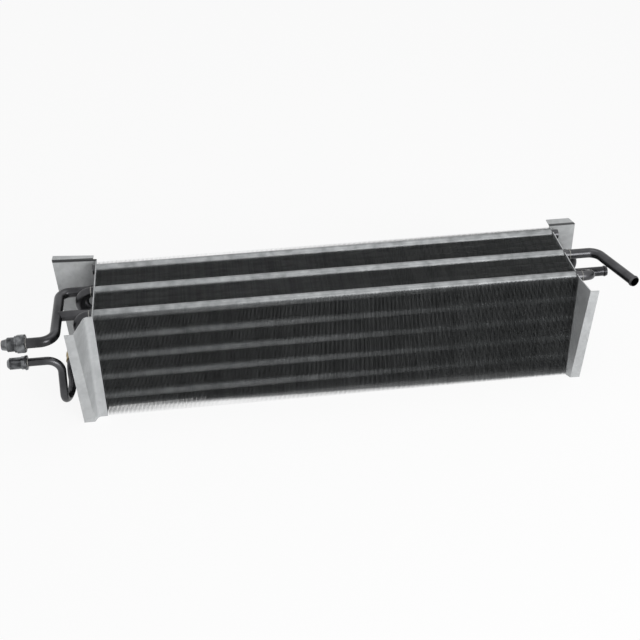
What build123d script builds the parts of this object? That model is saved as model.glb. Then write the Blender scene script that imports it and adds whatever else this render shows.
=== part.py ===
"""Tube-and-fin evaporator core for a vehicle air conditioner.

Millimetres. X runs along the tubes, Y from the front face (the side with the
tapered lips) to the rear, Z up. The origin lies under the middle of the fin
pack, in the plane on which the two end plates stand.
"""
from build123d import *
import math
import os

os.makedirs("parts", exist_ok=True)

# Fin pack and tube layout

PACK_LENGTH = 755.0
PACK_LIFT = 0.0            # fin bottoms above the standing plane
TUBE_PITCH = 38.1          # from tube to tube within a column
COLUMN_PITCH = 33.0        # from column to column
FRONT_MARGIN = 15.0        # front face to the first column
TOP_MARGIN = 5.5           # top of the fins down to the highest tube centres
COLUMNS = 5
ROWS = 5
PACK_DEPTH = 2 * FRONT_MARGIN + (COLUMNS - 1) * COLUMN_PITCH
PACK_HEIGHT = ROWS * TUBE_PITCH

TUBE_R = 7.95              # 5/8 in tube
TUBE_WALL = 0.6
TUBE_CLEARANCE = 0.15      # tube to fin collar
PLATE_CLEARANCE = 0.2      # tube to end plate

FIN_GROUPS = 75            # fin bundles that the pack is drawn with
GROOVE_DEPTH = 3.0
GROOVE_WIDTH = 4.0

# End plates

SHEET = 1.5
LEFT_RISE = 3.0            # webs stand this far above the fins
RIGHT_RISE = 1.5
FLANGE_RISE = 1.5          # rear flanges above their webs
LEFT_FLANGE_CLIMB = 2.5    # rise of the left flange towards its free edge
LEFT_FLANGE_LEAN = 3.5     # degrees that it is bent back
LEFT_GAP = 0.0             # last fin to the plate
RIGHT_GAP = 1.5
LEFT_TUBE_OUT = 5.0        # tube ends beyond the outer face of a plate
RIGHT_TUBE_OUT = 8.5

LEFT_STRIP = 12.5          # flat strip beside the fins, outward
LEFT_LIP_TOP = 13.5        # lip width at the top
LEFT_LIP_FOOT = 16.5
LEFT_FOLD_TOP = (26.3, 44.5)    # fold of the lip: outward, forward
LEFT_FOLD_FOOT = (20.3, 12.5)
RIGHT_FOLD_TOP = (7.8, 39.5)
RIGHT_FOLD_FOOT = (7.1, 8.0)
RIGHT_LIP_TOP = 13.0
RIGHT_LIP_FOOT = 15.0
LEFT_REAR_TOP = 72.0       # rear flange, outward
LEFT_REAR_FOOT = 63.0
RIGHT_REAR = 44.5
LEFT_FLAP = 13.0           # flap folded back from the rear flange
RIGHT_FLAP = 20.0
FLAP_NOTCH = 6.0
FLAP_CUT = 5.0             # slant of the right flap's outer end
WALL_BEND = 9.0            # soft bend between strip and splayed wall

# Suction header

HEADER_OUT = 59.8          # header line from the last fin
HEADER_BEND = 16.0
PORT_BEND = 22.0
PORT_Y = -17.0             # both fittings lie this far in front of the fins
SUCTION_NUT_OUT = 101.5
SUCTION_NUT = 27.0         # across flats
SUCTION_NUT_LENGTH = 13.2
SUCTION_RING = 2.9         # bright ring beside the nut
SUCTION_THREAD_R = 11.1
SUCTION_TIP_R = 7.6
SUCTION_TIP_OUT = 137.8
COPE_CLEARANCE = 0.1
SOCKET = 6.0               # depth of the socket in a fitting
SOCKET_FILL = 4.0          # pipe end inside it

# Liquid line

LIQUID_R = 6.35            # 1/2 in tube
LIQUID_WALL = 0.8
PORT_DROP = 35.45          # below the suction port
LIQUID_NUT_OUT = 104.3
LIQUID_NUT = 22.0
LIQUID_NUT_LENGTH = 4.2
LIQUID_RING = 5.0
LIQUID_THREAD_R = 9.25
LIQUID_TIP_R = 6.6
LIQUID_TIP_OUT = 134.8
DROP_OUT = 60.3            # foot of the drop
DROP_TOP_OUT = 54.5        # head of the drop
DROP_BEND = 21.0
RISER_BEND = 16.0
U_FOOT_Z = 45.5
RISER_OUT = 49.0
RISER_Y = 22.0
RUN_Z = 84.0               # level of the run into the distributor
DISTRIBUTOR_Y = 41.0
DISTRIBUTOR_LENGTH = 21.0
DISTRIBUTOR_R = 9.0
FEEDER_R = 3.175           # 1/4 in tube
FEEDER_WALL = 0.6
FEEDER_OFFSET = 4.2
FEEDER_BEND = 12.0
FEEDER_CLEARANCE = 1.5     # to the return bends that it passes
FEEDER_LEAD = 13.0         # feeder socket to the front feeder's first bend
REDUCER_LENGTH = 10.0

# Hose ends on the right

HOSE_STRAIGHT = 42.0
HOSE_BEND = 20.0
HOSE_ANGLE = 71.6
HOSE_TIP_Y = -14.0
STUB_LENGTH = 79.0
BEAD_R = 9.0
BEAD_FROM_END = 3.5

# Derived places

X_LEFT = -PACK_LENGTH / 2
X_RIGHT = PACK_LENGTH / 2
Y_FRONT = -PACK_DEPTH / 2
Y_REAR = PACK_DEPTH / 2
Z_TOP = PACK_LIFT + PACK_HEIGHT
LEFT_TOP = Z_TOP + LEFT_RISE
RIGHT_TOP = Z_TOP + RIGHT_RISE
TUBE_BORE_R = TUBE_R - TUBE_WALL
LEFT_WEB = X_LEFT - LEFT_GAP - SHEET / 2
RIGHT_WEB = X_RIGHT + RIGHT_GAP + SHEET / 2
TUBE_LEFT_END = LEFT_WEB - SHEET / 2 - LEFT_TUBE_OUT
TUBE_RIGHT_END = RIGHT_WEB + SHEET / 2 + RIGHT_TUBE_OUT

LEFT_BENDS = [
    ((1, 1), (1, 2)),
    ((2, 2), (2, 3)),
    ((1, 3), (1, 4)),
    ((2, 4), (2, 5)),
    ((3, 1), (3, 2)),
    ((4, 2), (5, 2)),
    ((5, 3), (4, 3)),
    ((3, 3), (3, 4)),
    ((4, 4), (5, 4)),
    ((5, 5), (4, 5)),
]
RIGHT_BENDS = [
    ((2, 1), (1, 1)),
    ((1, 2), (2, 2)),
    ((2, 3), (1, 3)),
    ((1, 4), (2, 4)),
    ((2, 5), (1, 5)),
    ((4, 1), (4, 2)),
    ((5, 2), (5, 3)),
    ((4, 3), (3, 3)),
    ((3, 4), (4, 4)),
    ((5, 4), (5, 5)),
    ((4, 5), (3, 5)),
]
FRONT_INLET = (1, 5)
REAR_INLET = (3, 5)


def place(column, row):
    """Y and Z of a tube; every second column sits half a pitch lower."""
    y = Y_FRONT + FRONT_MARGIN + COLUMN_PITCH * (column - 1)
    z = Z_TOP - TOP_MARGIN - TUBE_PITCH * (row - 1)
    if column % 2 == 0:
        z -= TUBE_PITCH / 2
    return y, z


def tube_places():
    """Every place of the pattern; the tube at (5, 1) is blind and has no bend."""
    return [(column, row) for column in range(1, COLUMNS + 1) for row in range(1, ROWS + 1)]


def liquid_level():
    """Height of the liquid port and its pipe."""
    return place(4, 1)[1] - PORT_DROP


def out_left(distance):
    """X of a point at this distance outside the left end of the fins."""
    return X_LEFT - distance


def rod_x(radius, x0, x1, y, z):
    """Plain rod along X."""
    return Plane(origin=(x0, y, z), z_dir=(1, 0, 0)) * extrude_circle(radius, x1 - x0)


def extrude_circle(radius, length):
    """Rod along local Z."""
    return extrude(Circle(radius), amount=length)


def rounded_path(points, radii):
    """Straight runs joined by tangent arcs; one radius for each inner point."""
    corners = [Vector(*p) for p in points]
    edges = []
    start = corners[0]
    for index, radius in enumerate(radii):
        before = corners[index]
        corner = corners[index + 1]
        after = corners[index + 2]
        d_in = (corner - before).normalized()
        d_out = (after - corner).normalized()
        turn = math.radians(d_in.get_angle(d_out))
        trim = radius * math.tan(turn / 2)
        a = corner - d_in * trim
        b = corner + d_out * trim
        to_centre = (d_out - d_in).normalized()
        middle = corner + to_centre * (radius / math.cos(turn / 2) - radius)
        if (a - start).length > 1e-4:
            edges.append(Edge.make_line(start, a))
        edges.append(Edge.make_three_point_arc(a, middle, b))
        start = b
    edges.append(Edge.make_line(start, corners[-1]))
    return Wire(edges)


def tube_along(path, radius, wall):
    """Tube of round section swept along a path."""
    section = Plane(origin=path @ 0, z_dir=path % 0) * (Circle(radius) - Circle(radius - wall))
    return sweep(section, path=path)


def hexagon(across_flats):
    """Flat hexagon with a corner on local X."""
    return RegularPolygon(across_flats / math.sqrt(3), 6)


# Fin pack


def fin_pack():
    """Pack of pressed fins, drawn as bundles on a common core, open for the tubes."""
    centre = (0, 0, PACK_LIFT + PACK_HEIGHT / 2)
    pack = Pos(*centre) * Box(PACK_LENGTH, PACK_DEPTH, PACK_HEIGHT)
    groove = Box(GROOVE_WIDTH, PACK_DEPTH + 2, PACK_HEIGHT + 2)
    groove -= Box(
        GROOVE_WIDTH + 2,
        PACK_DEPTH - 2 * GROOVE_DEPTH,
        PACK_HEIGHT - 2 * GROOVE_DEPTH,
    )
    spacing = (PACK_LENGTH - GROOVE_WIDTH) / (FIN_GROUPS - 1)
    first = X_LEFT + (spacing + GROOVE_WIDTH) / 2
    grooves = [
        Pos(first + spacing * i, 0, centre[2]) * groove for i in range(FIN_GROUPS - 1)
    ]
    pack -= grooves
    bores = [
        rod_x(TUBE_R + TUBE_CLEARANCE, X_LEFT - 1, X_RIGHT + 1, *place(*cell))
        for cell in tube_places()
    ]
    return pack - bores


# End plates


def offset_line(points, distance):
    """The same open line moved sideways, with mitred corners."""
    moved = []
    for i, (x, y) in enumerate(points):
        normals = []
        if i > 0:
            dx, dy = x - points[i - 1][0], y - points[i - 1][1]
            size = math.hypot(dx, dy)
            normals.append((-dy / size, dx / size))
        if i < len(points) - 1:
            dx, dy = points[i + 1][0] - x, points[i + 1][1] - y
            size = math.hypot(dx, dy)
            normals.append((-dy / size, dx / size))
        nx = sum(n[0] for n in normals)
        ny = sum(n[1] for n in normals)
        size = math.hypot(nx, ny)
        nx, ny = nx / size, ny / size
        stretch = distance / (nx * normals[0][0] + ny * normals[0][1])
        moved.append((x + nx * stretch, y + ny * stretch))
    return moved


def sheet_section(points, height):
    """Cross-section of a folded sheet at one height."""
    outline = offset_line(points, SHEET / 2) + offset_line(points, -SHEET / 2)[::-1]
    return Pos(0, 0, height) * make_face(Polyline(*outline, close=True))


def rounded_corner(points, index, radius, steps=5):
    """The same open line with one corner drawn as a bend in short flats."""
    a, corner, b = (Vector(*points[i]) for i in (index - 1, index, index + 1))
    d_in = (corner - a).normalized()
    d_out = (b - corner).normalized()
    turn = math.radians(d_in.get_angle(d_out))
    trim = min(radius * math.tan(turn / 2), (b - corner).length * 0.4)
    start = corner - d_in * trim
    end = corner + d_out * trim
    bend = []
    for i in range(steps + 1):
        t = i / steps
        spot = start * (1 - t) ** 2 + corner * (2 * t * (1 - t)) + end * t ** 2
        bend.append((spot.X, spot.Y))
    return points[:index] + bend + points[index + 1:]


def folded_sheet(foot_line, top_line, top):
    """Sheet whose fold lines run straight from the foot to the top."""
    return loft([sheet_section(foot_line, 0), sheet_section(top_line, top)], ruled=True)


def tube_holes(x):
    """Cutters for the tubes in one end plate."""
    radius = TUBE_R + PLATE_CLEARANCE
    return [rod_x(radius, x - 5, x + 5, *place(*cell)) for cell in tube_places()]


def upright_slab(corners, y_far, depth):
    """Slab with an outline given in X and Z, reaching forward from y_far."""
    face = make_face(Polyline(*corners, close=True))
    plane = Plane(origin=(0, y_far, 0), x_dir=(1, 0, 0), z_dir=(0, -1, 0))
    return extrude(plane * face, amount=depth)


def rear_flange(x_web, outward_top, outward_foot, top, climb):
    """Flat flange along the rear edge; outward distances carry their sign."""
    corners = [
        (x_web, 0),
        (x_web + outward_foot, 0),
        (x_web + outward_top, top + climb),
        (x_web, top),
    ]
    return upright_slab(corners, Y_REAR + SHEET, SHEET)


def flap(x_inner, x_outer, top_inner, top_outer, depth):
    """Flap folded back along the top edge of a rear flange."""
    corners = [
        (x_inner, top_inner),
        (x_outer, top_outer),
        (x_outer, top_outer - SHEET),
        (x_inner, top_inner - SHEET),
    ]
    return upright_slab(corners, Y_REAR + depth, depth)


def end_plate_left():
    """Left end plate: tube web, splayed front wall with its lip, rear flange and flap."""
    x = LEFT_WEB
    strip_y = Y_FRONT - SHEET / 2
    strip_x = X_LEFT - LEFT_STRIP
    lines = []
    for fold, lip, spread in (
        (LEFT_FOLD_FOOT, LEFT_LIP_FOOT, 2.0),
        (LEFT_FOLD_TOP, LEFT_LIP_TOP, 0.0),
    ):
        fold_x = X_LEFT - fold[0]
        fold_y = Y_FRONT - fold[1]
        line = [
            (x, Y_REAR + SHEET),
            (x, strip_y),
            (strip_x - spread, strip_y),
            (fold_x, fold_y),
            (fold_x - lip, fold_y),
        ]
        lines.append(rounded_corner(line, 2, WALL_BEND))
    inner = x + SHEET / 2
    top = LEFT_TOP + FLANGE_RISE
    climb = LEFT_FLANGE_CLIMB
    plate = folded_sheet(*lines, LEFT_TOP)
    flange = rear_flange(inner, -LEFT_REAR_TOP, -LEFT_REAR_FOOT, top, climb)
    notch = top + climb * FLAP_NOTCH / LEFT_REAR_TOP
    flange += flap(inner - FLAP_NOTCH, inner - LEFT_REAR_TOP, notch, top + climb, LEFT_FLAP)
    hinge = Axis((inner, Y_REAR, 0), (0, 0, 1))
    plate += flange.rotate(hinge, -LEFT_FLANGE_LEAN)
    return plate - tube_holes(x)


def end_plate_right():
    """Right end plate: tube web drawn forward to a lip, rear flange and flap."""
    x = RIGHT_WEB
    lines = []
    for fold, lip in (
        (RIGHT_FOLD_FOOT, RIGHT_LIP_FOOT),
        (RIGHT_FOLD_TOP, RIGHT_LIP_TOP),
    ):
        fold_x = X_RIGHT + fold[0]
        fold_y = Y_FRONT - fold[1]
        lines.append([
            (x, Y_REAR + SHEET),
            (x, Y_FRONT),
            (fold_x, fold_y),
            (fold_x + lip, fold_y - 1.0),
        ])
    inner = x - SHEET / 2
    top = RIGHT_TOP + FLANGE_RISE
    plate = folded_sheet(*lines, RIGHT_TOP)
    plate += rear_flange(inner, RIGHT_REAR, RIGHT_REAR, top, 0)
    plate += flap(inner, inner + RIGHT_REAR, top, top, RIGHT_FLAP)
    slant = [
        (inner + RIGHT_REAR, Y_REAR + SHEET),
        (inner + RIGHT_REAR + 1, Y_REAR + RIGHT_FLAP + 1),
        (inner + RIGHT_REAR - FLAP_CUT, Y_REAR + RIGHT_FLAP + 1),
    ]
    plate -= Pos(0, 0, top - 2 * SHEET) * extrude(
        make_face(Polyline(*slant, close=True)), amount=3 * SHEET
    )
    return plate - tube_holes(x)


# Tubes and return bends


def core_tubes(column):
    """Straight tubes of one column."""
    tubes = []
    for cell in tube_places():
        if cell[0] != column:
            continue
        y, z = place(*cell)
        ring = Circle(TUBE_R) - Circle(TUBE_BORE_R)
        plane = Plane(origin=(TUBE_LEFT_END, y, z), z_dir=(1, 0, 0))
        tubes.append(extrude(plane * ring, amount=TUBE_RIGHT_END - TUBE_LEFT_END))
    return tubes


def return_bend(first, second, x, side):
    """Half-circle bend brazed onto two neighbouring tube ends."""
    y0, z0 = place(*first)
    y1, z1 = place(*second)
    link = Vector(0, y1 - y0, z1 - z0)
    reach = link.length / 2
    middle = Vector(x, (y0 + y1) / 2, (z0 + z1) / 2)
    outward = Vector(side, 0, 0)
    path = Edge.make_three_point_arc(
        middle - link / 2,
        middle + outward * reach,
        middle + link / 2,
    )
    return tube_along(Wire([path]), TUBE_R, TUBE_WALL)


# Suction side


def suction_header():
    """Header from the fourth column, past the branch, to the suction port."""
    y, z = place(4, 1)
    port_y = Y_FRONT + PORT_Y
    path = rounded_path(
        [
            (TUBE_LEFT_END, y, z),
            (out_left(HEADER_OUT), y, z),
            (out_left(HEADER_OUT), port_y, z),
            (out_left(SUCTION_NUT_OUT + SOCKET_FILL), port_y, z),
        ],
        [HEADER_BEND, PORT_BEND],
    )
    header = tube_along(path, TUBE_R, TUBE_WALL)
    branch_y, branch_z = place(2, 1)
    return header - rod_x(TUBE_BORE_R, out_left(HEADER_OUT), TUBE_LEFT_END, branch_y, branch_z)


def suction_branch():
    """Branch from the second column, coped to sit on the header."""
    y, z = place(2, 1)
    ring = Circle(TUBE_R) - Circle(TUBE_BORE_R)
    plane = Plane(origin=(out_left(HEADER_OUT), y, z), z_dir=(1, 0, 0))
    branch = extrude(plane * ring, amount=TUBE_LEFT_END - out_left(HEADER_OUT))
    seat = Plane(origin=(out_left(HEADER_OUT), y + 2.5 * TUBE_R, z), z_dir=(0, -1, 0))
    return branch - seat * extrude_circle(TUBE_R + COPE_CLEARANCE, 5 * TUBE_R)


def threaded_nose(length, thread_r, pitch, tip_length, tip_r, bore_r):
    """Turned nose along local Z: round thread grooves, then a plain tapered tip."""
    depth = 0.6
    line = [(bore_r, 0), (thread_r - depth, 0)]
    turns = int(length / pitch)
    for i in range(turns):
        base = pitch * i
        line.append((thread_r - depth, base + 0.2 * pitch))
        line.append((thread_r, base + 0.45 * pitch))
        line.append((thread_r, base + 0.75 * pitch))
        line.append((thread_r - depth, base + pitch))
    end = length + tip_length
    line.append((tip_r + 1.2, length + 0.6))
    line.append((tip_r, end - 1.0))
    line.append((tip_r - 1.0, end))
    line.append((bore_r, end))
    face = make_face(Plane.XZ * Polyline(*line, close=True))
    return revolve(face, axis=Axis.Z)


def chamfered_hexagon(across_flats, length, bore_r):
    """Hexagon along local Z with turned corners and a bore."""
    body = extrude(hexagon(across_flats), amount=length)
    corner_r = across_flats / math.sqrt(3)
    flat_r = across_flats / 2 - 0.3
    rise = (corner_r - flat_r) * math.tan(math.radians(30))
    line = [
        (0, 0),
        (flat_r, 0),
        (corner_r, rise),
        (corner_r, length - rise),
        (flat_r, length),
        (0, length),
    ]
    body &= revolve(make_face(Plane.XZ * Polyline(*line, close=True)), axis=Axis.Z)
    return body - extrude_circle(bore_r, length)


def port_fitting(nut_out, tip_out, height, nut, nut_length, collar, thread, tip, tube_r, wall):
    """Machined port: socket for the tube, hexagon, collar, thread and tapered tip."""
    bore_r = tube_r - wall - 0.8
    total = tip_out - nut_out
    thread_r, pitch, tip_length = thread
    thread_length = total - nut_length - collar - tip_length
    body = chamfered_hexagon(nut, nut_length, bore_r)
    ring = Circle(nut / 2 - 0.8) - Circle(bore_r)
    body += Pos(0, 0, nut_length) * extrude(ring, amount=collar)
    nose = threaded_nose(thread_length, thread_r, pitch, tip_length, tip, bore_r)
    body += Pos(0, 0, nut_length + collar) * nose
    body -= extrude_circle(tube_r + COPE_CLEARANCE, SOCKET)
    plane = Plane(
        origin=(out_left(nut_out), Y_FRONT + PORT_Y, height),
        x_dir=(0, 0, 1),
        z_dir=(-1, 0, 0),
    )
    return plane * body


def suction_fitting():
    """Large port on the suction header."""
    return port_fitting(
        SUCTION_NUT_OUT, SUCTION_TIP_OUT, place(4, 1)[1], SUCTION_NUT, SUCTION_NUT_LENGTH,
        SUCTION_RING, (SUCTION_THREAD_R, 1.6, 7.5), SUCTION_TIP_R, TUBE_R, TUBE_WALL,
    )


def liquid_fitting():
    """Small port on the liquid line."""
    return port_fitting(
        LIQUID_NUT_OUT, LIQUID_TIP_OUT, liquid_level(), LIQUID_NUT, LIQUID_NUT_LENGTH,
        LIQUID_RING, (LIQUID_THREAD_R, 1.5, 3.0), LIQUID_TIP_R, LIQUID_R, LIQUID_WALL,
    )


# Liquid side


def liquid_pipe():
    """Liquid line: drops beside the lip, turns up behind it and runs to the distributor."""
    port_y = Y_FRONT + PORT_Y
    riser_y = Y_FRONT + RISER_Y
    z_port = liquid_level()
    z_foot = PACK_LIFT + U_FOOT_Z
    z_run = PACK_LIFT + RUN_Z
    span = math.hypot(DROP_OUT - RISER_OUT, RISER_Y - PORT_Y)
    u_bend = span / 2 - 1.2
    path = rounded_path(
        [
            (out_left(LIQUID_NUT_OUT + SOCKET_FILL), port_y, z_port),
            (out_left(DROP_TOP_OUT), port_y, z_port),
            (out_left(DROP_OUT), port_y, z_foot),
            (out_left(RISER_OUT), riser_y, z_foot),
            (out_left(RISER_OUT), riser_y, z_run),
            (out_left(RISER_OUT), Y_FRONT + DISTRIBUTOR_Y + 5, z_run),
        ],
        [DROP_BEND, u_bend, u_bend, RISER_BEND],
    )
    return tube_along(path, LIQUID_R, LIQUID_WALL)


def distributor():
    """Brass distributor: one socket in, two feeder sockets out."""
    length = DISTRIBUTOR_LENGTH
    line = [
        (0, 0),
        (LIQUID_R + 1.6, 0),
        (LIQUID_R + 1.6, length * 0.4),
        (DISTRIBUTOR_R, length * 0.65),
        (DISTRIBUTOR_R, length - 1.0),
        (DISTRIBUTOR_R - 1.0, length),
        (0, length),
    ]
    body = revolve(make_face(Plane.XZ * Polyline(*line, close=True)), axis=Axis.Z)
    body -= extrude_circle(LIQUID_R + COPE_CLEARANCE, 5.0)
    body -= extrude_circle(LIQUID_R - LIQUID_WALL - 0.5, length * 0.7)
    for side in (-1, 1):
        drill = Pos(side * FEEDER_OFFSET, 0, length - 4) * extrude_circle(
            FEEDER_R + COPE_CLEARANCE, 5
        )
        body -= drill
        body -= Pos(side * FEEDER_OFFSET, 0, length * 0.5) * extrude_circle(1.6, length)
    plane = Plane(
        origin=(out_left(RISER_OUT), Y_FRONT + DISTRIBUTOR_Y, PACK_LIFT + RUN_Z),
        x_dir=(1, 0, 0),
        z_dir=(0, 1, 0),
    )
    return plane * body


def feeder(points):
    """Small feeder tube through the given corners."""
    return tube_along(rounded_path(points, [FEEDER_BEND] * (len(points) - 2)), FEEDER_R, FEEDER_WALL)


def feeder_start(side):
    """Foot of a feeder in its distributor socket."""
    x = out_left(RISER_OUT) + side * FEEDER_OFFSET
    y = Y_FRONT + DISTRIBUTOR_Y + DISTRIBUTOR_LENGTH - 4
    return x, y, PACK_LIFT + RUN_Z


def feeder_rear():
    """Feeder to the lowest tube of the third column."""
    x, y, z = feeder_start(-1)
    end_y, end_z = place(*REAR_INLET)
    return feeder([
        (x, y, z),
        (x, end_y, z),
        (x, end_y, end_z),
        (TUBE_LEFT_END - REDUCER_LENGTH + 4, end_y, end_z),
    ])


def feeder_front():
    """Feeder to the lowest tube of the first column, outside the return bends."""
    x, y, z = feeder_start(1)
    end_y, end_z = place(*FRONT_INLET)
    bend_reach = TUBE_PITCH / 2 + TUBE_R
    x_pass = TUBE_LEFT_END - bend_reach - FEEDER_R - FEEDER_CLEARANCE
    return feeder([
        (x, y, z),
        (x, y + FEEDER_LEAD, z),
        (x_pass, y + FEEDER_LEAD, end_z),
        (x_pass, end_y, end_z),
        (TUBE_LEFT_END - REDUCER_LENGTH + 4, end_y, end_z),
    ])


def inlet_reducer(cell):
    """Spun cap that closes a tube end down to its feeder."""
    y, z = place(*cell)
    wall = 0.9
    length = REDUCER_LENGTH
    neck_r = FEEDER_R + COPE_CLEARANCE
    line = [
        (TUBE_R, 0),
        (TUBE_R, 2.0),
        (neck_r + wall, length - 4.5),
        (neck_r + wall, length),
        (neck_r, length),
        (neck_r, length - 4.0),
        (TUBE_BORE_R - 0.3, 1.6),
        (TUBE_BORE_R - 0.3, 0),
    ]
    cap = revolve(make_face(Plane.XZ * Polyline(*line, close=True)), axis=Axis.Z)
    return Plane(origin=(TUBE_LEFT_END, y, z), z_dir=(-1, 0, 0)) * cap


# Hose ends


def hose_bead(end, direction):
    """Rolled bead near a hose end."""
    line = [
        (TUBE_R - 0.3, -2.4),
        (TUBE_R, -2.2),
        (BEAD_R, -0.8),
        (BEAD_R, 0.8),
        (TUBE_R, 2.2),
        (TUBE_R - 0.3, 2.4),
    ]
    bead = revolve(make_face(Plane.XZ * Polyline(*line, close=True)), axis=Axis.Z)
    spot = Vector(*end) - Vector(*direction) * BEAD_FROM_END
    return Plane(origin=spot, z_dir=direction) * bead


def hose_end_upper():
    """Upper hose end, bent round towards the front."""
    y, z = place(3, 1)
    turn = math.radians(HOSE_ANGLE)
    x_corner = X_RIGHT + HOSE_STRAIGHT + HOSE_BEND * math.tan(turn / 2)
    direction = (math.cos(turn), -math.sin(turn), 0)
    run = (y - (Y_FRONT + HOSE_TIP_Y)) / math.sin(turn)
    end = (x_corner + direction[0] * run, Y_FRONT + HOSE_TIP_Y, z)
    path = rounded_path([(TUBE_RIGHT_END, y, z), (x_corner, y, z), end], [HOSE_BEND])
    return tube_along(path, TUBE_R, TUBE_WALL) + hose_bead(end, direction)


def hose_end_lower():
    """Lower hose end, straight."""
    y, z = place(3, 2)
    end = (X_RIGHT + STUB_LENGTH, y, z)
    path = Wire([Edge.make_line(Vector(TUBE_RIGHT_END, y, z), Vector(*end))])
    return tube_along(path, TUBE_R, TUBE_WALL) + hose_bead(end, (1, 0, 0))


# Assembly and export


def all_parts():
    """Every piece under its name."""
    parts = {
        "fin_pack": fin_pack(),
        "end_plate_left": end_plate_left(),
        "end_plate_right": end_plate_right(),
    }
    for column in range(1, COLUMNS + 1):
        parts[f"core_tubes_column_{column}"] = core_tubes(column)
    for number, (first, second) in enumerate(LEFT_BENDS, 1):
        parts[f"return_bend_left_{number:02d}"] = return_bend(first, second, TUBE_LEFT_END, -1)
    for number, (first, second) in enumerate(RIGHT_BENDS, 1):
        parts[f"return_bend_right_{number:02d}"] = return_bend(first, second, TUBE_RIGHT_END, 1)
    parts["suction_header"] = suction_header()
    parts["suction_branch"] = suction_branch()
    parts["suction_fitting"] = suction_fitting()
    parts["liquid_pipe"] = liquid_pipe()
    parts["liquid_fitting"] = liquid_fitting()
    parts["distributor"] = distributor()
    parts["feeder_front"] = feeder_front()
    parts["feeder_rear"] = feeder_rear()
    parts["inlet_reducer_front"] = inlet_reducer(FRONT_INLET)
    parts["inlet_reducer_rear"] = inlet_reducer(REAR_INLET)
    parts["hose_end_upper"] = hose_end_upper()
    parts["hose_end_lower"] = hose_end_lower()
    return parts


for name, shape in all_parts().items():
    if isinstance(shape, (list, tuple)):
        shape = Compound(children=list(shape))
    shape.label = name
    export_step(shape, f"parts/{name}.step")
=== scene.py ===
import math

import bmesh
import bpy
from mathutils import Matrix, Vector


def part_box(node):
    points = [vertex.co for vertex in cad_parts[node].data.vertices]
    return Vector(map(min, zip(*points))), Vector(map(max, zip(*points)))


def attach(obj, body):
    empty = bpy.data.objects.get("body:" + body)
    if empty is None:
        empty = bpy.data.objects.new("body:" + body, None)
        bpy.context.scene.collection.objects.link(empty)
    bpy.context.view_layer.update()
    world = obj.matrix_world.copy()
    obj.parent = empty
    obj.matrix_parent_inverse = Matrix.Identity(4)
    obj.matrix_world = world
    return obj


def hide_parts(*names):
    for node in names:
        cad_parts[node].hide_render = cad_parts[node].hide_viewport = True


bl_info = {
    "name": "Evaporator Core",
    "version": (1, 0, 0),
    "blender": (4, 5, 0),
    "location": "View3D > Sidebar > Evaporator",
    "description": "Dresses the evaporator core with its fins, collars, brazing and finishes",
    "category": "Object",
}

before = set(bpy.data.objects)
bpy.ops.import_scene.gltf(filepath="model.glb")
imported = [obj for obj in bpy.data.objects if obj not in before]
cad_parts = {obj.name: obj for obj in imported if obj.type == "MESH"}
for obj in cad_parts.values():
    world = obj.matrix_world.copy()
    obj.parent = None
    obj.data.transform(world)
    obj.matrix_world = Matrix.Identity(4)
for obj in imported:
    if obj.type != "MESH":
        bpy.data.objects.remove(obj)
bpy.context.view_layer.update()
ROOT = "root"
MM = 0.001

# Places of the tubes, from the fin pack's own box

PACK_LOW, PACK_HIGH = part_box("fin_pack")
TUBE_PITCH = 38.1 * MM
COLUMN_PITCH = 33.0 * MM
FRONT_MARGIN = 15.0 * MM
TOP_MARGIN = 5.5 * MM
TUBE_RADIUS = 7.95 * MM
LIQUID_RADIUS = 6.35 * MM
TUBES = [
    (
        PACK_LOW.y + FRONT_MARGIN + COLUMN_PITCH * (column - 1),
        PACK_HIGH.z - TOP_MARGIN - TUBE_PITCH * (row - 1) - (TUBE_PITCH / 2 if column % 2 == 0 else 0),
    )
    for column in range(1, 6)
    for row in range(1, 6)
]


def centre(low, high):
    """Y and Z of the middle of a box."""
    return (low.y + high.y) / 2, (low.z + high.z) / 2


# Helpers for meshes


def finished_mesh(name, mesh, material=None):
    """Links a finished mesh at the origin, with its material if one is given; attach() lets it ride on the part."""
    piece = bpy.data.objects.new(name, mesh)
    bpy.context.scene.collection.objects.link(piece)
    if material is not None:
        mesh.materials.clear()
        mesh.materials.append(material)
    return piece


def bake_nodes(carrier, tree, values, name):
    """Runs a node tree on a carrier object and keeps the result as a plain mesh."""
    modifier = carrier.modifiers.new("repeat", "NODES")
    modifier.node_group = tree
    for item in tree.interface.items_tree:
        if item.item_type == "SOCKET" and item.in_out == "INPUT" and item.name in values:
            modifier[item.identifier] = values[item.name]
    bpy.context.view_layer.update()
    depsgraph = bpy.context.evaluated_depsgraph_get()
    mesh = bpy.data.meshes.new_from_object(carrier.evaluated_get(depsgraph))
    mesh.name = name
    carrier.modifiers.remove(modifier)
    bpy.data.objects.remove(carrier)
    if not mesh.polygons:
        raise RuntimeError(f"the node tree made nothing for {name}")
    return mesh


def empty_carrier(name, points=((0, 0, 0),)):
    """Object whose vertices are the points that a node tree works from."""
    mesh = bpy.data.meshes.new(name)
    mesh.from_pydata(points, [], [])
    carrier = bpy.data.objects.new(name, mesh)
    bpy.context.scene.collection.objects.link(carrier)
    return carrier


def add_node(tree, kind, settings=None, links=None):
    """Adds one node, sets its properties and socket values, and links its inputs."""
    node = tree.nodes.new(kind)
    for key, value in (settings or {}).items():
        if isinstance(key, str) and hasattr(node, key):
            setattr(node, key, value)
        else:
            node.inputs[key].default_value = value
    for key, source in (links or {}).items():
        tree.links.new(source, node.inputs[key])
    return node


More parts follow.
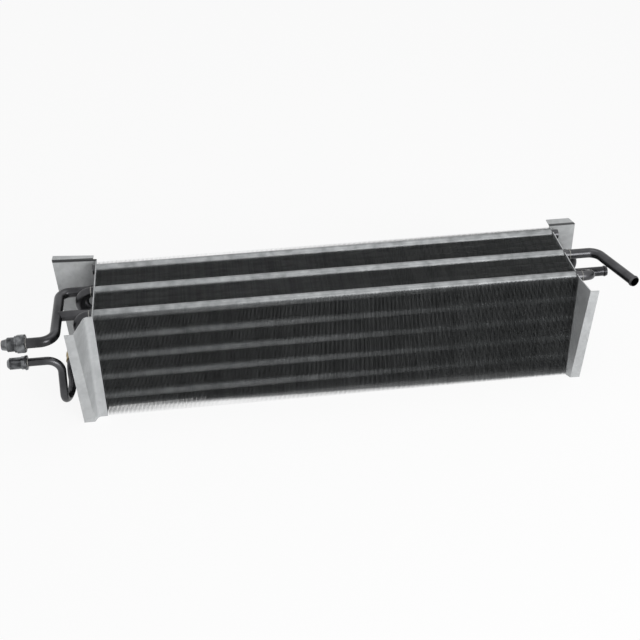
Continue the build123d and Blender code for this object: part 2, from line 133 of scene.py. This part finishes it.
def new_tree(name, inputs):
    """Geometry node group with named inputs and one geometry output."""
    tree = bpy.data.node_groups.new(name, "GeometryNodeTree")
    tree.interface.new_socket("Geometry", in_out="INPUT", socket_type="NodeSocketGeometry")
    for label, kind in inputs:
        tree.interface.new_socket(label, in_out="INPUT", socket_type=kind)
    tree.interface.new_socket("Geometry", in_out="OUTPUT", socket_type="NodeSocketGeometry")
    return tree, tree.nodes.new("NodeGroupInput"), tree.nodes.new("NodeGroupOutput")


# Colours and materials


def linear(code):
    """sRGB hex code as a linear colour."""
    parts = [int(code[i:i + 2], 16) / 255 for i in (1, 3, 5)]
    return tuple(c / 12.92 if c <= 0.04045 else ((c + 0.055) / 1.055) ** 2.4 for c in parts) + (1.0,)


def new_material(name):
    """Empty material with its shader and output."""
    material = bpy.data.materials.new(name)
    material.use_nodes = True
    tree = material.node_tree
    tree.nodes.clear()
    shader = tree.nodes.new("ShaderNodeBsdfPrincipled")
    output = tree.nodes.new("ShaderNodeOutputMaterial")
    tree.links.new(shader.outputs[0], output.inputs["Surface"])
    return material, tree, shader


def pressed_fin_foil():
    """Mill-finish aluminium foil, blanked and stacked: each fin has its own slight shade."""
    material, tree, shader = new_material("pressed_fin_foil")
    coords = add_node(tree, "ShaderNodeTexCoord")
    # One value for each fin: a stripe of 2 mm along X
    stripe = add_node(tree, "ShaderNodeMapping", {"Scale": (1 / (2.0 * MM), 0, 0)}, {"Vector": coords.outputs["Object"]})
    whole = add_node(tree, "ShaderNodeVectorMath", {"operation": "FLOOR"}, {0: stripe.outputs[0]})
    shade = add_node(tree, "ShaderNodeTexWhiteNoise", {"noise_dimensions": "3D"}, {"Vector": whole.outputs[0]})
    # Cloudy handling marks about 30 mm across
    cloud = add_node(tree, "ShaderNodeTexNoise", {"Scale": 1 / (30 * MM), "Detail": 4.0}, {"Vector": coords.outputs["Object"]})
    blend = add_node(tree, "ShaderNodeMath", {"operation": "MULTIPLY_ADD", 1: 0.5}, {0: shade.outputs["Value"], 2: cloud.outputs["Fac"]})
    ramp = add_node(tree, "ShaderNodeValToRGB", {}, {"Fac": blend.outputs[0]})
    ramp.color_ramp.elements[0].position = 0.3
    ramp.color_ramp.elements[0].color = linear("#6C6E6F")
    ramp.color_ramp.elements[1].position = 1.0
    ramp.color_ramp.elements[1].color = linear("#8E9091")
    tree.links.new(ramp.outputs[0], shader.inputs["Base Color"])
    shader.inputs["Metallic"].default_value = 1.0
    shader.inputs["Roughness"].default_value = 0.45
    return material


def drawn_collar():
    """Aluminium fin collars drawn over the tubes: bright, with a ring at every fin."""
    material, tree, shader = new_material("drawn_collar_aluminium")
    coords = add_node(tree, "ShaderNodeTexCoord")
    cloud = add_node(tree, "ShaderNodeTexNoise", {"Scale": 1 / (14 * MM), "Detail": 5.0}, {"Vector": coords.outputs["Object"]})
    ramp = add_node(tree, "ShaderNodeValToRGB", {}, {"Fac": cloud.outputs["Fac"]})
    ramp.color_ramp.elements[0].position = 0.3
    ramp.color_ramp.elements[0].color = linear("#7C7E7F")
    ramp.color_ramp.elements[1].position = 0.7
    ramp.color_ramp.elements[1].color = linear("#A2A4A5")
    tree.links.new(ramp.outputs[0], shader.inputs["Base Color"])
    shader.inputs["Metallic"].default_value = 1.0
    shader.inputs["Roughness"].default_value = 0.5
    return material


def galvanised_sheet():
    """Zinc-coated steel sheet, sheared and folded: pale, faint spangle, soft gloss."""
    material, tree, shader = new_material("galvanised_sheet")
    coords = add_node(tree, "ShaderNodeTexCoord")
    # Zinc spangle about 6 mm across
    spangle = add_node(tree, "ShaderNodeTexVoronoi", {"Scale": 1 / (6 * MM), "Randomness": 1.0}, {"Vector": coords.outputs["Object"]})
    cloud = add_node(tree, "ShaderNodeTexNoise", {"Scale": 1 / (40 * MM), "Detail": 6.0, "Roughness": 0.6}, {"Vector": coords.outputs["Object"]})
    grey = add_node(tree, "ShaderNodeRGBToBW", {}, {0: spangle.outputs["Color"]})
    mixed = add_node(tree, "ShaderNodeMath", {"operation": "MULTIPLY_ADD", 1: 0.25}, {0: grey.outputs[0], 2: cloud.outputs["Fac"]})
    ramp = add_node(tree, "ShaderNodeValToRGB", {}, {"Fac": mixed.outputs[0]})
    ramp.color_ramp.elements[0].position = 0.3
    ramp.color_ramp.elements[0].color = linear("#A3A5A6")
    ramp.color_ramp.elements[1].position = 0.85
    ramp.color_ramp.elements[1].color = linear("#BDBFC0")
    # Painted shade in the top fold of the rear flanges, 2.5 mm high: the sheet is painted darker towards the fold
    place = add_node(tree, "ShaderNodeSeparateXYZ", {}, {0: coords.outputs["Object"]})
    height = add_node(
        tree, "ShaderNodeMapRange", {1: PACK_HIGH.z + 1.0 * MM, 2: PACK_HIGH.z + 2.5 * MM}, {0: place.outputs["Z"]}
    )
    behind = add_node(tree, "ShaderNodeMath", {"operation": "GREATER_THAN", 1: PACK_HIGH.y - 0.5 * MM}, {0: place.outputs["Y"]})
    before = add_node(tree, "ShaderNodeMath", {"operation": "LESS_THAN", 1: PACK_HIGH.y + 5.0 * MM}, {0: place.outputs["Y"]})
    strip = add_node(tree, "ShaderNodeMath", {"operation": "MULTIPLY"}, {0: behind.outputs[0], 1: before.outputs[0]})
    painted_fold_shade = add_node(tree, "ShaderNodeMath", {"operation": "MULTIPLY"}, {0: strip.outputs[0], 1: height.outputs[0]})
    # Mixes the painted fold shade, #3A3B3C, into the sheet colour
    fold_shaded_colour = add_node(
        tree, "ShaderNodeMix", {"data_type": "RGBA", 7: linear("#3A3B3C")}, {0: painted_fold_shade.outputs[0], 6: ramp.outputs[0]}
    )
    tree.links.new(fold_shaded_colour.outputs[2], shader.inputs["Base Color"])
    shader.inputs["Metallic"].default_value = 0.3
    rough = add_node(tree, "ShaderNodeMapRange", {3: 0.38, 4: 0.55}, {0: cloud.outputs["Fac"]})
    tree.links.new(rough.outputs[0], shader.inputs["Roughness"])
    return material


def drawn_tube():
    """Drawn refrigeration tube, annealed and dulled by brazing heat: dark with soft highlights."""
    material, tree, shader = new_material("drawn_tube_dull")
    coords = add_node(tree, "ShaderNodeTexCoord")
    stain = add_node(tree, "ShaderNodeTexNoise", {"Scale": 1 / (45 * MM), "Detail": 3.0, "Roughness": 0.5}, {"Vector": coords.outputs["Object"]})
    ramp = add_node(tree, "ShaderNodeValToRGB", {}, {"Fac": stain.outputs["Fac"]})
    ramp.color_ramp.elements[0].position = 0.35
    ramp.color_ramp.elements[0].color = linear("#38383A")
    ramp.color_ramp.elements[1].position = 0.7
    ramp.color_ramp.elements[1].color = linear("#58585A")
    tree.links.new(ramp.outputs[0], shader.inputs["Base Color"])
    shader.inputs["Metallic"].default_value = 1.0
    rough = add_node(tree, "ShaderNodeMapRange", {1: 0.3, 2: 0.75, 3: 0.24, 4: 0.42}, {0: stain.outputs["Fac"]})
    tree.links.new(rough.outputs[0], shader.inputs["Roughness"])
    return material


def turned_steel():
    """Turned and plated steel fitting: bright edges, fine tool rings 0.4 mm apart."""
    material, tree, shader = new_material("turned_steel_plated")
    coords = add_node(tree, "ShaderNodeTexCoord")
    rings = add_node(tree, "ShaderNodeTexWave", {"bands_direction": "X", "Scale": 1 / (0.4 * MM) / 20, "Distortion": 0.6}, {"Vector": coords.outputs["Object"]})
    bump = add_node(tree, "ShaderNodeBump", {"Strength": 0.15, "Distance": 0.05 * MM}, {"Height": rings.outputs["Fac"]})
    tree.links.new(bump.outputs[0], shader.inputs["Normal"])
    stain = add_node(tree, "ShaderNodeTexNoise", {"Scale": 1 / (8 * MM), "Detail": 5.0}, {"Vector": coords.outputs["Object"]})
    ramp = add_node(tree, "ShaderNodeValToRGB", {}, {"Fac": stain.outputs["Fac"]})
    ramp.color_ramp.elements[0].position = 0.35
    ramp.color_ramp.elements[0].color = linear("#4A4B4D")
    ramp.color_ramp.elements[1].position = 0.7
    ramp.color_ramp.elements[1].color = linear("#8C8E90")
    tree.links.new(ramp.outputs[0], shader.inputs["Base Color"])
    shader.inputs["Metallic"].default_value = 1.0
    shader.inputs["Roughness"].default_value = 0.28
    return material


def turned_brass():
    """Turned brass, dulled: warm grey-yellow."""
    material, tree, shader = new_material("turned_brass_dull")
    coords = add_node(tree, "ShaderNodeTexCoord")
    stain = add_node(tree, "ShaderNodeTexNoise", {"Scale": 1 / (6 * MM), "Detail": 5.0}, {"Vector": coords.outputs["Object"]})
    ramp = add_node(tree, "ShaderNodeValToRGB", {}, {"Fac": stain.outputs["Fac"]})
    ramp.color_ramp.elements[0].color = linear("#6E6146")
    ramp.color_ramp.elements[1].color = linear("#A08E62")
    tree.links.new(ramp.outputs[0], shader.inputs["Base Color"])
    shader.inputs["Metallic"].default_value = 1.0
    shader.inputs["Roughness"].default_value = 0.35
    return material


def braze_alloy():
    """Braze alloy run into a joint: rough, paler than the tube."""
    material, tree, shader = new_material("braze_alloy")
    coords = add_node(tree, "ShaderNodeTexCoord")
    grain = add_node(tree, "ShaderNodeTexNoise", {"Scale": 1 / (3 * MM), "Detail": 4.0}, {"Vector": coords.outputs["Object"]})
    ramp = add_node(tree, "ShaderNodeValToRGB", {}, {"Fac": grain.outputs["Fac"]})
    ramp.color_ramp.elements[0].color = linear("#6C6B68")
    ramp.color_ramp.elements[1].color = linear("#B0AFAB")
    tree.links.new(ramp.outputs[0], shader.inputs["Base Color"])
    shader.inputs["Metallic"].default_value = 0.8
    shader.inputs["Roughness"].default_value = 0.5
    return material


def seen_directly(tree):
    """1 for rays that show the background itself: camera, glossy and transmission rays."""
    path = add_node(tree, "ShaderNodeLightPath")
    seen = add_node(tree, "ShaderNodeMath", {"operation": "MAXIMUM"}, {0: path.outputs["Is Camera Ray"], 1: path.outputs["Is Glossy Ray"]})
    seen = add_node(tree, "ShaderNodeMath", {"operation": "MAXIMUM"}, {0: seen.outputs[0], 1: path.outputs["Is Transmission Ray"]})
    return seen.outputs[0]


def white_surface(name, strength_seen):
    """Paper-white studio surface that shows white to the camera and keeps a faint shadow."""
    material = bpy.data.materials.new(name)
    material.use_nodes = True
    tree = material.node_tree
    tree.nodes.clear()
    output = tree.nodes.new("ShaderNodeOutputMaterial")
    diffuse = add_node(tree, "ShaderNodeBsdfDiffuse", {"Color": linear("#F4F4F4")})
    glow = add_node(tree, "ShaderNodeEmission", {"Color": (1, 1, 1, 1), "Strength": 1.0})
    share = add_node(tree, "ShaderNodeMath", {"operation": "MULTIPLY", 1: strength_seen}, {0: seen_directly(tree)})
    mix = add_node(tree, "ShaderNodeMixShader", {}, {0: share.outputs[0], 1: diffuse.outputs[0], 2: glow.outputs[0]})
    tree.links.new(mix.outputs[0], output.inputs["Surface"])
    return material


# Sizes that a user would change


class EvaporatorFinSizes(bpy.types.PropertyGroup):
    """Sizes of the fins and their collars."""

    count: bpy.props.IntProperty(name="Fins", description="Number of fins on the tubes", default=360, min=10, max=600)
    thickness: bpy.props.FloatProperty(
        name="Foil thickness", description="Thickness of one fin", default=0.2 * MM, precision=5, subtype="DISTANCE", unit="LENGTH"
    )
    hole_radius: bpy.props.FloatProperty(
        name="Hole radius", description="Corner radius of the eight-sided tube holes", default=8.6 * MM, precision=5, subtype="DISTANCE", unit="LENGTH"
    )
    collar_radius: bpy.props.FloatProperty(
        name="Collar radius", description="Outside radius of the collars on the tubes", default=8.65 * MM, precision=5, subtype="DISTANCE", unit="LENGTH"
    )
    ripple: bpy.props.FloatProperty(
        name="Ripple", description="Height of the pressed waves to each side of the fin's own plane", default=1.0 * MM, precision=5, subtype="DISTANCE", unit="LENGTH"
    )
    waves: bpy.props.IntProperty(name="Folds", description="Number of slopes that the waves of a fin are pressed into", default=18, min=2, max=60)
    jitter: bpy.props.FloatProperty(
        name="Spacing error", description="Largest shift of one fin from its even place", default=0.12 * MM, precision=5, subtype="DISTANCE", unit="LENGTH"
    )


class EvaporatorBrazingSizes(bpy.types.PropertyGroup):
    """Sizes of the braze beads."""

    bead: bpy.props.FloatProperty(
        name="Bead", description="Radius of a bead of braze", default=0.7 * MM, precision=5, subtype="DISTANCE", unit="LENGTH"
    )


class EvaporatorStageSizes(bpy.types.PropertyGroup):
    """Camera and lamps."""

    lens: bpy.props.FloatProperty(name="Lens", description="Focal length for a 36 mm sensor", default=63.0, unit="CAMERA")
    lamp_power: bpy.props.FloatProperty(name="Lamp power", description="Power of the large overhead lamp", default=34.0, subtype="POWER", unit="POWER")
    world_strength: bpy.props.FloatProperty(name="Room light", description="Strength of the light from the bright side of the room", default=0.75)
    world_dark: bpy.props.FloatProperty(name="Dark side", description="Strength of the light from the dark side of the room", default=0.06)


# Pieces


def fin_template(sizes):
    """One fin: a thin plate, open for the tubes, notched where the top tubes stand out."""
    low, high = PACK_LOW, PACK_HIGH
    mesh = bmesh.new()
    corners = 8
    radius = sizes.hole_radius
    notches = []

    def loop(points):
        verts = [mesh.verts.new((0, y, z)) for y, z in points]
        for a, b in zip(verts, verts[1:] + verts[:1]):
            mesh.edges.new((a, b))

    for y, z in TUBES:
        ring = [
            (y + radius * math.cos(2 * math.pi * (k + 0.5) / corners), z + radius * math.sin(2 * math.pi * (k + 0.5) / corners))
            for k in range(corners)
        ]
        if z + radius < high.z:
            loop(ring)
        else:
            notches.append((y, z))
    outline = [(high.y, low.z), (high.y, high.z)]
    for y, z in sorted(notches, reverse=True):
        half = math.acos((high.z - z) / radius)
        start = math.pi / 2 - half
        steps = 6
        for k in range(steps + 1):
            angle = start - k * (2 * math.pi - 2 * half) / steps
            outline.append((y + radius * math.cos(angle), z + radius * math.sin(angle)))
    outline += [(low.y, high.z), (low.y, low.z)]
    loop(outline)
    bmesh.ops.triangle_fill(mesh, edges=mesh.edges[:], use_beauty=True)
    slope = (high.y - low.y) / sizes.waves
    for number in range(1, sizes.waves):
        bmesh.ops.bisect_plane(
            mesh, geom=mesh.verts[:] + mesh.edges[:] + mesh.faces[:], dist=0.00001,
            plane_co=(0, low.y + slope * number, 0), plane_no=(0, 1, 0),
        )
    for vert in mesh.verts:
        # The margins along both faces are pressed flat
        inset = min(max(vert.co.y, low.y + slope), high.y - slope)
        turn = (inset - low.y) / slope % 2
        vert.co.x = sizes.ripple * (1 - 2 * abs(1 - turn))
    faces = mesh.faces[:]
    grown = bmesh.ops.extrude_face_region(mesh, geom=faces)
    moved = [v for v in grown["geom"] if isinstance(v, bmesh.types.BMVert)]
    bmesh.ops.translate(mesh, verts=moved, vec=(sizes.thickness, 0, 0))
    bmesh.ops.recalc_face_normals(mesh, faces=mesh.faces[:])
    data = bpy.data.meshes.new("fin_template")
    mesh.to_mesh(data)
    mesh.free()
    template = bpy.data.objects.new("fin_template", data)
    bpy.context.scene.collection.objects.link(template)
    return template


def fin_tree():
    """Repeats one fin along X with a small seeded error in its place."""
    tree, source, sink = new_tree(
        "fin_stack",
        (
            ("Fin", "NodeSocketObject"),
            ("Count", "NodeSocketInt"),
            ("Start", "NodeSocketFloat"),
            ("Pitch", "NodeSocketFloat"),
            ("Spacing Error", "NodeSocketFloat"),
            ("Seed", "NodeSocketInt"),
            ("Material", "NodeSocketMaterial"),
        ),
    )
    start = add_node(tree, "ShaderNodeCombineXYZ", {}, {"X": source.outputs["Start"]})
    step = add_node(tree, "ShaderNodeCombineXYZ", {}, {"X": source.outputs["Pitch"]})
    line = add_node(
        tree, "GeometryNodeMeshLine", {"mode": "OFFSET"},
        {"Count": source.outputs["Count"], "Start Location": start.outputs[0], "Offset": step.outputs[0]},
    )
    back = add_node(tree, "ShaderNodeMath", {"operation": "MULTIPLY", 1: -1.0}, {0: source.outputs["Spacing Error"]})
    error = add_node(
        tree, "FunctionNodeRandomValue", {"data_type": "FLOAT"},
        {"Min": back.outputs[0], "Max": source.outputs["Spacing Error"], "Seed": source.outputs["Seed"]},
    )
    shift = add_node(tree, "ShaderNodeCombineXYZ", {}, {"X": error.outputs[1]})
    placed = add_node(tree, "GeometryNodeSetPosition", {}, {"Geometry": line.outputs[0], "Offset": shift.outputs[0]})
    fin = add_node(tree, "GeometryNodeObjectInfo", {}, {"Object": source.outputs["Fin"]})
    copies = add_node(
        tree, "GeometryNodeInstanceOnPoints", {}, {"Points": placed.outputs[0], "Instance": fin.outputs["Geometry"]}
    )
    real = add_node(tree, "GeometryNodeRealizeInstances", {}, {"Geometry": copies.outputs[0]})
    done = add_node(
        tree, "GeometryNodeSetMaterial", {}, {"Geometry": real.outputs[0], "Material": source.outputs["Material"]}
    )
    tree.links.new(done.outputs[0], sink.inputs[0])
    return tree


def ring_tree():
    """Repeats a round tube section with its axis on X at every point."""
    tree, source, sink = new_tree(
        "rings_on_points",
        (
            ("Radius", "NodeSocketFloat"),
            ("Wall", "NodeSocketFloat"),
            ("Length", "NodeSocketFloat"),
            ("Sides", "NodeSocketInt"),
            ("Material", "NodeSocketMaterial"),
        ),
    )
    end = add_node(tree, "ShaderNodeCombineXYZ", {}, {"X": source.outputs["Length"]})
    run = add_node(tree, "GeometryNodeCurvePrimitiveLine", {}, {"End": end.outputs[0]})
    outer = add_node(
        tree, "GeometryNodeCurvePrimitiveCircle", {}, {"Radius": source.outputs["Radius"], "Resolution": source.outputs["Sides"]}
    )
    sleeve = add_node(
        tree, "GeometryNodeCurveToMesh", {"Fill Caps": False}, {"Curve": run.outputs[0], "Profile Curve": outer.outputs[0]}
    )
    thin = add_node(tree, "ShaderNodeMath", {"operation": "SUBTRACT"}, {0: source.outputs["Radius"], 1: source.outputs["Wall"]})
    inner = add_node(
        tree, "GeometryNodeCurvePrimitiveCircle", {}, {"Radius": thin.outputs[0], "Resolution": source.outputs["Sides"]}
    )
    lining = add_node(
        tree, "GeometryNodeCurveToMesh", {"Fill Caps": False}, {"Curve": run.outputs[0], "Profile Curve": inner.outputs[0]}
    )
    turned = add_node(tree, "GeometryNodeFlipFaces", {}, {"Mesh": lining.outputs[0]})
    both = add_node(tree, "GeometryNodeJoinGeometry")
    tree.links.new(sleeve.outputs[0], both.inputs[0])
    tree.links.new(turned.outputs[0], both.inputs[0])
    copies = add_node(
        tree, "GeometryNodeInstanceOnPoints", {}, {"Points": source.outputs["Geometry"], "Instance": both.outputs[0]}
    )
    real = add_node(tree, "GeometryNodeRealizeInstances", {}, {"Geometry": copies.outputs[0]})
    smooth = add_node(tree, "GeometryNodeSetShadeSmooth", {}, {"Geometry": real.outputs[0]})
    done = add_node(
        tree, "GeometryNodeSetMaterial", {}, {"Geometry": smooth.outputs[0], "Material": source.outputs["Material"]}
    )
    tree.links.new(done.outputs[0], sink.inputs[0])
    return tree


class EVAPORATOR_OT_fins(bpy.types.Operator):
    """Stacks the separate fins in place of the plain fin pack"""

    bl_idname = "evaporator.fins"
    bl_label = "Fins"

    def execute(self, context):
        sizes = context.scene.evaporator_fins
        material = pressed_fin_foil()
        template = fin_template(sizes)
        tree = fin_tree()
        margin = sizes.jitter + sizes.ripple
        room = PACK_HIGH.x - PACK_LOW.x - sizes.thickness - 2 * margin
        pitch = room / (sizes.count - 1)
        groups = 4
        each = sizes.count // groups
        for number in range(groups):
            count = each if number < groups - 1 else sizes.count - each * (groups - 1)
            name = f"fins_{number + 1}"
            mesh = bake_nodes(
                empty_carrier("fin_carrier"),
                tree,
                {
                    "Fin": template,
                    "Count": count,
                    "Start": PACK_LOW.x + margin + pitch * each * number,
                    "Pitch": pitch,
                    "Spacing Error": sizes.jitter,
                    "Seed": number,
                    "Material": material,
                },
                name,
            )
            piece = finished_mesh(name, mesh, material)
            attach(piece, ROOT)
            if number == 0:
                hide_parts("fin_pack")
        bpy.data.objects.remove(template)
        return {"FINISHED"}


class EVAPORATOR_OT_collars(bpy.types.Operator):
    """Puts the drawn collars round the tubes between the fins"""

    bl_idname = "evaporator.collars"
    bl_label = "Collars"

    def execute(self, context):
        sizes = context.scene.evaporator_fins
        material = drawn_collar()
        points = [(PACK_LOW.x + 0.1 * MM, y, z) for y, z in TUBES]
        mesh = bake_nodes(
            empty_carrier("collar_carrier", points),
            ring_tree(),
            {
                "Radius": sizes.collar_radius,
                "Wall": 0.4 * MM,
                "Length": PACK_HIGH.x - PACK_LOW.x - 0.2 * MM,
                "Sides": 32,
                "Material": material,
            },
            "fin_collars",
        )
        piece = finished_mesh("fin_collars", mesh, material)
        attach(piece, ROOT)
        return {"FINISHED"}


def bead_tree():
    """Puts a round bead of braze, its axis on X, at every point."""
    tree, source, sink = new_tree(
        "beads_on_points",
        (
            ("Radius", "NodeSocketFloat"),
            ("Bead", "NodeSocketFloat"),
            ("Material", "NodeSocketMaterial"),
        ),
    )
    path = add_node(tree, "GeometryNodeCurvePrimitiveCircle", {"Resolution": 28}, {"Radius": source.outputs["Radius"]})
    section = add_node(tree, "GeometryNodeCurvePrimitiveCircle", {"Resolution": 8}, {"Radius": source.outputs["Bead"]})
    bead = add_node(tree, "GeometryNodeCurveToMesh", {}, {"Curve": path.outputs[0], "Profile Curve": section.outputs[0]})
    upright = add_node(tree, "GeometryNodeTransform", {"Rotation": (0, math.pi / 2, 0)}, {"Geometry": bead.outputs[0]})
    copies = add_node(
        tree, "GeometryNodeInstanceOnPoints", {}, {"Points": source.outputs["Geometry"], "Instance": upright.outputs[0]}
    )
    real = add_node(tree, "GeometryNodeRealizeInstances", {}, {"Geometry": copies.outputs[0]})
    smooth = add_node(tree, "GeometryNodeSetShadeSmooth", {}, {"Geometry": real.outputs[0]})
    done = add_node(
        tree, "GeometryNodeSetMaterial", {}, {"Geometry": smooth.outputs[0], "Material": source.outputs["Material"]}
    )
    tree.links.new(done.outputs[0], sink.inputs[0])
    return tree


class EVAPORATOR_OT_brazing(bpy.types.Operator):
    """Puts braze beads where the bends and the ports are joined"""

    bl_idname = "evaporator.brazing"
    bl_label = "Brazing"

    def execute(self, context):
        sizes = context.scene.evaporator_brazing
        material = braze_alloy()
        tree = bead_tree()
        tubes_low, tubes_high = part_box("core_tubes_column_1")
        suction_low, suction_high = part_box("suction_fitting")
        liquid_low, liquid_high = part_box("liquid_fitting")
        blind = TUBES[20]
        ends = [(x, y, z) for x in (tubes_low.x, tubes_high.x) for y, z in TUBES if (y, z) != blind]
        for name, points, radius in (
            ("braze_tube_ends", ends, TUBE_RADIUS),
            ("braze_suction_port", [(suction_high.x, *centre(suction_low, suction_high))], TUBE_RADIUS),
            ("braze_liquid_port", [(liquid_high.x, *centre(liquid_low, liquid_high))], LIQUID_RADIUS),
        ):
            mesh = bake_nodes(
                empty_carrier("braze_carrier", points), tree,
                {"Radius": radius, "Bead": sizes.bead, "Material": material}, name,
            )
            piece = finished_mesh(name, mesh, material)
            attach(piece, ROOT)
        return {"FINISHED"}


class EVAPORATOR_OT_finishes(bpy.types.Operator):
    """Gives the metal parts of the frame their finishes"""

    bl_idname = "evaporator.finishes"
    bl_label = "Metal finishes"

    def execute(self, context):
        sheet = galvanised_sheet()
        tube = drawn_tube()
        steel = turned_steel()
        brass = turned_brass()
        for name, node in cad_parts.items():
            if name == "fin_pack":
                continue
            if name.startswith("end_plate"):
                material = sheet
            elif name.endswith("_fitting"):
                material = steel
            elif name == "distributor":
                material = brass
            else:
                material = tube
            node.data.materials.clear()
            node.data.materials.append(material)
        return {"FINISHED"}


class EVAPORATOR_OT_stage(bpy.types.Operator):
    """Sets the floor, the lamps and the camera"""

    bl_idname = "evaporator.stage"
    bl_label = "Stage"

    def execute(self, context):
        sizes = context.scene.evaporator_stage
        scene = context.scene
        mesh = bpy.data.meshes.new("floor")
        reach = 6.0
        mesh.from_pydata([(-reach, -reach, 0), (reach, -reach, 0), (reach, reach, 0), (-reach, reach, 0)], [], [(0, 1, 2, 3)])
        floor = finished_mesh("floor", mesh, white_surface("floor_paper", 0.9))

        world = bpy.data.worlds.new("studio")
        world.use_nodes = True
        background = world.node_tree.nodes["Background"]
        # Room light: dark from the left, bright from the right, the front and above
        coords = add_node(world.node_tree, "ShaderNodeTexCoord")
        side = add_node(
            world.node_tree, "ShaderNodeVectorMath", {"operation": "DOT_PRODUCT", 1: (0.50, -0.78, 0.37)},
            {0: coords.outputs["Generated"]},
        )
        room = add_node(
            world.node_tree, "ShaderNodeMapRange",
            {1: -0.6, 2: 0.9, 3: sizes.world_dark, 4: sizes.world_strength}, {0: side.outputs["Value"]},
        )
        seen = add_node(
            world.node_tree, "ShaderNodeMix", {"data_type": "FLOAT", 3: 1.0},
            {0: seen_directly(world.node_tree), 2: room.outputs[0]},
        )
        background.inputs["Color"].default_value = (1, 1, 1, 1)
        world.node_tree.links.new(seen.outputs[0], background.inputs["Strength"])
        scene.world = world

        for name, place, size, power in (
            ("key", (0.9, -2.1, 1.0), 1.0, sizes.lamp_power),
            ("overhead", (0.3, 0.3, 1.8), 1.0, sizes.lamp_power * 0.12),
        ):
            data = bpy.data.lights.new(name, "AREA")
            data.shape = "SQUARE"
            data.size = size
            data.energy = power
            lamp = bpy.data.objects.new(name, data)
            scene.collection.objects.link(lamp)
            lamp.location = place
            aim = Vector((0, 0, 0.08)) - Vector(place)
            lamp.rotation_euler = aim.to_track_quat("-Z", "Y").to_euler()

        data = bpy.data.cameras.new("camera")
        data.lens = sizes.lens
        data.sensor_width = 36.0
        camera = bpy.data.objects.new("camera", data)
        scene.collection.objects.link(camera)
        azimuth, elevation, roll = (math.radians(a) for a in (6.45, 34.92, -1.04))
        ahead = Vector((math.sin(azimuth) * math.cos(elevation), math.cos(azimuth) * math.cos(elevation), -math.sin(elevation)))
        right = Vector((math.cos(azimuth), -math.sin(azimuth), 0))
        up = right.cross(ahead)
        side = right * math.cos(roll) + up * math.sin(roll)
        top = up * math.cos(roll) - right * math.sin(roll)
        camera.matrix_world = Matrix((
            (side.x, top.x, -ahead.x, -0.19276),
            (side.y, top.y, -ahead.y, -1.50299),
            (side.z, top.z, -ahead.z, 1.15126),
            (0, 0, 0, 1),
        ))
        scene.camera = camera
        scene.view_settings.view_transform = "Standard"
        return {"FINISHED"}


class EVAPORATOR_PT_panel(bpy.types.Panel):
    """Lists the steps that dress the evaporator core"""

    bl_label = "Evaporator core"
    bl_idname = "EVAPORATOR_PT_panel"
    bl_space_type = "VIEW_3D"
    bl_region_type = "UI"
    bl_category = "Evaporator"

    def draw(self, context):
        for step in STEPS:
            self.layout.operator(step.bl_idname)


STEPS = (EVAPORATOR_OT_fins, EVAPORATOR_OT_collars, EVAPORATOR_OT_brazing, EVAPORATOR_OT_finishes, EVAPORATOR_OT_stage)
GROUPS = (EvaporatorFinSizes, EvaporatorBrazingSizes, EvaporatorStageSizes)


def register():
    for item in GROUPS + STEPS + (EVAPORATOR_PT_panel,):
        bpy.utils.register_class(item)
    bpy.types.Scene.evaporator_fins = bpy.props.PointerProperty(type=EvaporatorFinSizes)
    bpy.types.Scene.evaporator_brazing = bpy.props.PointerProperty(type=EvaporatorBrazingSizes)
    bpy.types.Scene.evaporator_stage = bpy.props.PointerProperty(type=EvaporatorStageSizes)


def unregister():
    del bpy.types.Scene.evaporator_stage
    del bpy.types.Scene.evaporator_brazing
    del bpy.types.Scene.evaporator_fins
    for item in reversed(GROUPS + STEPS + (EVAPORATOR_PT_panel,)):
        bpy.utils.unregister_class(item)


def main():
    register()
    for step in STEPS:
        group, name = step.bl_idname.split(".")
        getattr(getattr(bpy.ops, group), name)()


if __name__ == "__main__":
    main()
